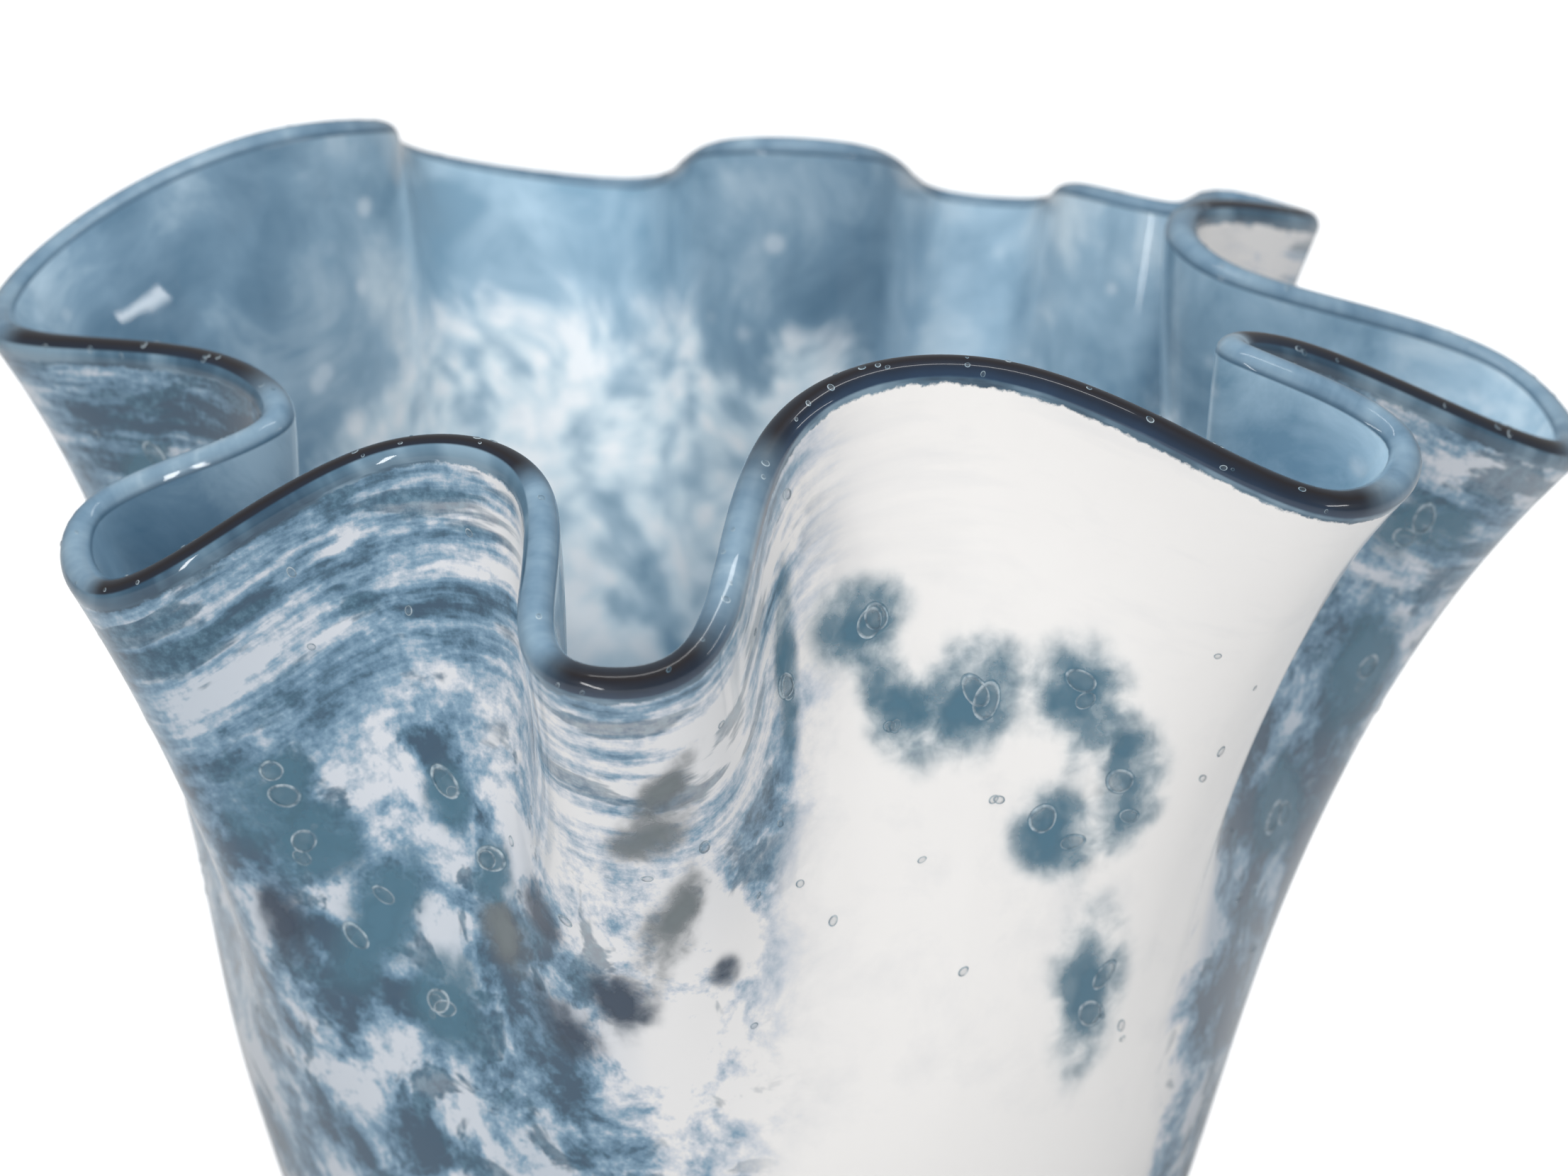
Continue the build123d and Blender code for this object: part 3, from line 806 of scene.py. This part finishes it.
def chip_material(name, core, middle_colour, rim):
    """A chip that fades out at its melted edge."""
    n = Nodes(name)
    position = n.position()
    cloud = n.noise(position, 260.0, 5.0, 0.62, 0.3)
    broad = n.noise(position, 120.0, 2.0, 0.5)
    spread = n.attribute("spread")
    raised = n.minus(n.plus(n.swung(cloud, 0.9), n.swung(broad, 1.5)), spread)
    alpha = n.times(n.step(-1.05, 0.05, raised), n.step(1.0, 0.45, spread))
    alpha = n.times(alpha, 0.94)
    colour = n.ramp(n.plus(raised, 1.0), [(0.05, rim), (0.40, middle_colour), (0.85, core)])
    roughness = n.plus(0.25, n.times(cloud, 0.1))
    return n.glass(Base_Color=colour, Roughness=roughness, IOR=1.5, Specular_IOR_Level=0.3,
                   Coat_Weight=1.0, Coat_Roughness=0.035, Alpha=alpha)


def bubble_material():
    """A faint disc with a brighter ring near its edge. The ring is painted light and shade, for the bright
    and dark rim that a bubble's curved edge shows.
    """
    n = Nodes("seed_bubble_glass")
    spread = n.attribute("spread")
    position = n.position()
    # Painted light and shade: the ring near the bubble's edge
    ring = n.times(n.step(0.66, 0.84, spread), n.step(1.0, 0.93, spread))
    alpha = n.plus(0.10, n.times(ring, n.plus(0.25, n.noise(position, 500.0, 2.0))))
    colour = n.ramp(n.noise(position, 700.0, 2.0), BUBBLE)
    return n.glass(Base_Color=colour, Roughness=0.2, IOR=1.5, Coat_Weight=1.0, Coat_Roughness=0.03,
                   Alpha=alpha)


hand_over(casing, casing_material(), ["clear_casing", "opal_skin"])
hand_over(lining, lining_material(), ["blue_lining"])
hand_over(foot, foot_material(), ["clear_foot"])

# =====================================================================================
# Chips and bubbles: shallow lenses laid on the outside of the casing
# =====================================================================================
surface_points = bowl[:casing_rows].reshape(-1, 3)
surface_normals = bowl_normals[:casing_rows].reshape(-1, 3)
here = np.arange(COLUMNS)
ahead = (here + 1) % COLUMNS
surface_quads = np.vstack([
    np.stack([low + here, low + ahead, low + COLUMNS + ahead, low + COLUMNS + here], 1)
    for low in range(0, (casing_rows - 1) * COLUMNS, COLUMNS)])
surface_tree = tree_of((surface_points, surface_quads))


def wall_normal(quad, point):
    """Normal of the wall at a point of one of its quads, blended from the corners."""
    weights = 1.0 / (np.linalg.norm(surface_points[quad] - point, axis=1) + 1e-7)
    return (surface_normals[quad] * weights[:, None]).sum(0)


def wall_directions(normal):
    """Level and climbing directions on the wall."""
    level = unit(np.cross(UP, normal))
    return level, np.cross(normal, level)


def lens(centre, first_axis, second_axis, rise_height, wobble):
    """Rings of a shallow lens lying on the wall: over the top from the middle out, then back underneath."""
    angles = 2 * np.pi * np.arange(LENS_SPOKES) / LENS_SPOKES
    outline = 1.0 + wobble[0] * np.sin(2 * angles + wobble[1]) + wobble[2] * np.sin(3 * angles + wobble[3])
    rim = outline[:, None] * (np.cos(angles)[:, None] * first_axis + np.sin(angles)[:, None] * second_axis)
    tops, unders = [], []
    for share in np.linspace(1.0 / LENS_RINGS, 1.0, LENS_RINGS):
        hits = [surface_tree.find_nearest(point) for point in centre + share * rim]
        onto = np.array([hit[0] for hit in hits])
        facing = unit(np.array([wall_normal(surface_quads[hit[2]], point) for hit, point in zip(hits, onto)]))
        height = 0.02 * MM + rise_height * (1 - share ** 2)
        tops.append((onto + facing * height, share, facing))
        unders.append((onto - facing * LENS_ROOT, share, -facing))
    return tops + unders[::-1]


def lens_piece(name, lenses):
    """One piece made of many lenses."""
    points, faces, shares, normals = [], [], [], []
    here = np.arange(LENS_SPOKES)
    ahead = (here + 1) % LENS_SPOKES
    for rings in lenses:
        start = len(points)
        for ring, share, ring_normals in rings:
            points.extend(ring.tolist())
            shares.extend([share] * LENS_SPOKES)
            normals.extend(ring_normals.tolist())
        end = len(points) - LENS_SPOKES
        for low in range(start, end, LENS_SPOKES):
            high = low + LENS_SPOKES
            faces += np.stack([low + here, high + here, high + ahead, low + ahead], 1).tolist()
        faces.append((start + here).tolist())
        faces.append((end + here[::-1]).tolist())
    piece = smooth_piece(name, points, faces, normals)
    add_attribute(piece.data, "spread", np.array(shares))
    return piece


def chip_places(node):
    """Middle and two half-axes of each chip of a CAD node."""
    places = []
    for points, _ in split(*weld(*node_triangles(node))):
        centre = 0.5 * (points.min(0) + points.max(0))
        onto, normal, _, _ = surface_tree.find_nearest(centre)
        level, climb = wall_directions(np.array(normal))
        local = np.stack([(points - centre) @ level, (points - centre) @ climb], 1)
        _, axes = np.linalg.eigh(np.cov(local.T))
        half = np.abs(local @ axes).max(0)
        first = half[0] * (axes[0, 0] * level + CHIP_STRETCH * axes[1, 0] * climb)
        second = half[1] * (axes[0, 1] * level + CHIP_STRETCH * axes[1, 1] * climb)
        if np.dot(np.cross(first, second), np.array(normal)) < 0:
            second = -second
        places.append((np.array(onto), first, second))
    return sorted(places, key=lambda place: tuple(np.round(place[0], 4)))


def bubble_places():
    """Middle and radius: larger bubbles in the blue chips, small ones on the upper wall and the lip."""
    places = []
    for place, first, second in chip_places("blue_chips"):
        for _ in range(BUBBLES_PER_CHIP):
            share = rng.uniform(-0.6, 0.6, 2)
            places.append((place + share[0] * first + share[1] * second, rng.uniform(0.9, 2.4) * MM))
    rows = rng.integers(int(0.45 * WALL_ROWS), WALL_ROWS - 3, WALL_BUBBLES)
    columns = rng.integers(0, COLUMNS, WALL_BUBBLES)
    for row, column in zip(rows, columns):
        places.append((outside[row, column], rng.uniform(0.35, 0.95) * MM))
    for _ in range(LIP_BUBBLES):
        row = rng.integers(len(outside) + 2, casing_rows - 3)
        column = rng.integers(0, COLUMNS)
        places.append((bowl[row, column], rng.uniform(0.22, 0.5) * MM))
    return places


def bubble(place, radius):
    onto, normal, _, _ = surface_tree.find_nearest(place)
    level, climb = wall_directions(np.array(normal))
    stretch = rng.uniform(1.0, 1.6)
    turned = rng.uniform(0, np.pi)
    first = radius * stretch * (np.cos(turned) * level + np.sin(turned) * climb)
    second = radius * (np.cos(turned) * climb - np.sin(turned) * level)
    return lens(np.array(onto), first, second, 0.16 * radius + 0.12 * MM, (0.03, 1.0, 0.02, 2.0))


for shade, colours in CHIP_COLOURS.items():
    node = shade + "_chips"
    lenses = []
    for place, first, second in chip_places(node):
        wobble = rng.uniform([0.02, 0, 0.02, 0], [0.14, 6.3, 0.10, 6.3])
        lenses.append(lens(place, CHIP_GROWTH * first, CHIP_GROWTH * second, CHIP_RISE, wobble))
    chips = lens_piece(shade + "_melted_chips", lenses)
    hand_over(chips, chip_material(node + "_glass", *colours), [node])

bubbles = lens_piece("seed_bubbles", [bubble(place, radius) for place, radius in bubble_places()])
hand_over(bubbles, bubble_material(), [])

# =====================================================================================
# Floor, light and camera
# =====================================================================================
FLOOR_HALF = 6.0
FLOOR_LIFT = 0.80        # glow of the floor, for the camera alone, so that it reads as white paper
WORLD_FILL = 0.38        # strength of the surroundings as light
WORLD_IN_GLOSS = 0.22    # and as seen in reflections
BOX_WHITE = (1.0, 1.0, 1.0)
BOX_WARM = (1.0, 0.985, 0.96)
SOFT_BOXES = [           # name, place, width, height, watts, colour, shows in reflections
    ("key", (-0.95, -0.75, 1.05), 0.5, 0.5, 4.2, BOX_WARM, False),
    ("left_strip", (-0.62, -1.15, 0.34), 0.06, 0.60, 1.8, BOX_WHITE, True),
    ("right_strip", (1.05, -0.55, 0.45), 0.05, 0.45, 0.7, BOX_WHITE, True),
    ("top", (0.05, -0.20, 1.35), 0.8, 0.6, 12.5, BOX_WHITE, False),
    ("top_strip", (0.05, -0.35, 1.30), 0.9, 0.07, 1.4, BOX_WHITE, True),
    ("front", (0.10, -1.50, 0.80), 1.2, 0.8, 5.2, BOX_WHITE, False),
]
CAMERA_ELEVATION = math.radians(20.8)
CAMERA_DISTANCE = 0.907
CAMERA_AIM = Vector((7.8 * MM, 0.0, 132.3 * MM))
CAMERA_LENS = 132.1
SENSOR_WIDTH = 36.0
FOCUS_POINT = (0.0, -88 * MM, 165 * MM)  # on the nearest lobes
F_STOP = 17.0


def make_floor():
    half = FLOOR_HALF
    mesh = bpy.data.meshes.new("floor")
    mesh.from_pydata([(-half, -half, 0), (half, -half, 0), (half, half, 0), (-half, half, 0)], [],
                     [(0, 1, 2, 3)])
    floor = bpy.data.objects.new("floor", mesh)
    bpy.context.scene.collection.objects.link(floor)
    n = Nodes("pale_paper")
    paper = n.ramp(n.noise(n.position(), 3.0, 2.0), PAPER)
    lift = n.times(n.add("LightPath").outputs["Is Camera Ray"], FLOOR_LIFT)
    mesh.materials.append(n.glass(Base_Color=paper, Roughness=0.9, Specular_IOR_Level=0.0,
                                  Emission_Color=(1, 1, 1), Emission_Strength=lift))


def make_world():
    """White to the camera, dimmer as a light and dimmer still in reflections."""
    world = bpy.data.worlds.new("studio")
    bpy.context.scene.world = world
    world.use_nodes = True
    tree = world.node_tree
    background = tree.nodes["Background"]
    background.inputs["Color"].default_value = (0.97, 0.985, 1.0, 1.0)
    ray = tree.nodes.new("ShaderNodeLightPath")
    reflected = tree.nodes.new("ShaderNodeMix")
    reflected.inputs[2].default_value = WORLD_FILL
    reflected.inputs[3].default_value = WORLD_IN_GLOSS
    tree.links.new(ray.outputs["Is Glossy Ray"], reflected.inputs[0])
    seen = tree.nodes.new("ShaderNodeMix")
    tree.links.new(reflected.outputs[0], seen.inputs[2])
    seen.inputs[3].default_value = 1.0
    tree.links.new(ray.outputs["Is Camera Ray"], seen.inputs[0])
    tree.links.new(seen.outputs[0], background.inputs["Strength"])


def soft_box(name, place, width, height, watts, colour, shines):
    """A rectangular light aimed at the middle of the bowl."""
    data = bpy.data.lights.new(name, "AREA")
    data.shape = "RECTANGLE"
    data.size = width
    data.size_y = height
    data.energy = watts
    data.color = colour
    lamp = bpy.data.objects.new(name, data)
    bpy.context.scene.collection.objects.link(lamp)
    bowl_middle = Vector(0.5 * (cad_low + cad_high))
    lamp.location = place
    lamp.rotation_euler = (bowl_middle - Vector(place)).to_track_quat("-Z", "Z").to_euler()
    lamp.visible_glossy = shines


def make_camera():
    data = bpy.data.cameras.new("camera")
    data.sensor_width = SENSOR_WIDTH
    data.lens = CAMERA_LENS
    camera = bpy.data.objects.new("camera", data)
    bpy.context.scene.collection.objects.link(camera)
    toward = Vector((0.0, -math.cos(CAMERA_ELEVATION), math.sin(CAMERA_ELEVATION)))
    camera.location = CAMERA_AIM + CAMERA_DISTANCE * toward
    camera.rotation_euler = (-toward).to_track_quat("-Z", "Y").to_euler()
    focus = bpy.data.objects.new("focus", None)
    focus.location = FOCUS_POINT
    bpy.context.scene.collection.objects.link(focus)
    data.dof.use_dof = True
    data.dof.focus_object = focus
    data.dof.aperture_fstop = F_STOP
    bpy.context.scene.camera = camera


make_floor()
make_world()
for box in SOFT_BOXES:
    soft_box(*box)
make_camera()
bpy.context.scene.view_settings.view_transform = "Standard"
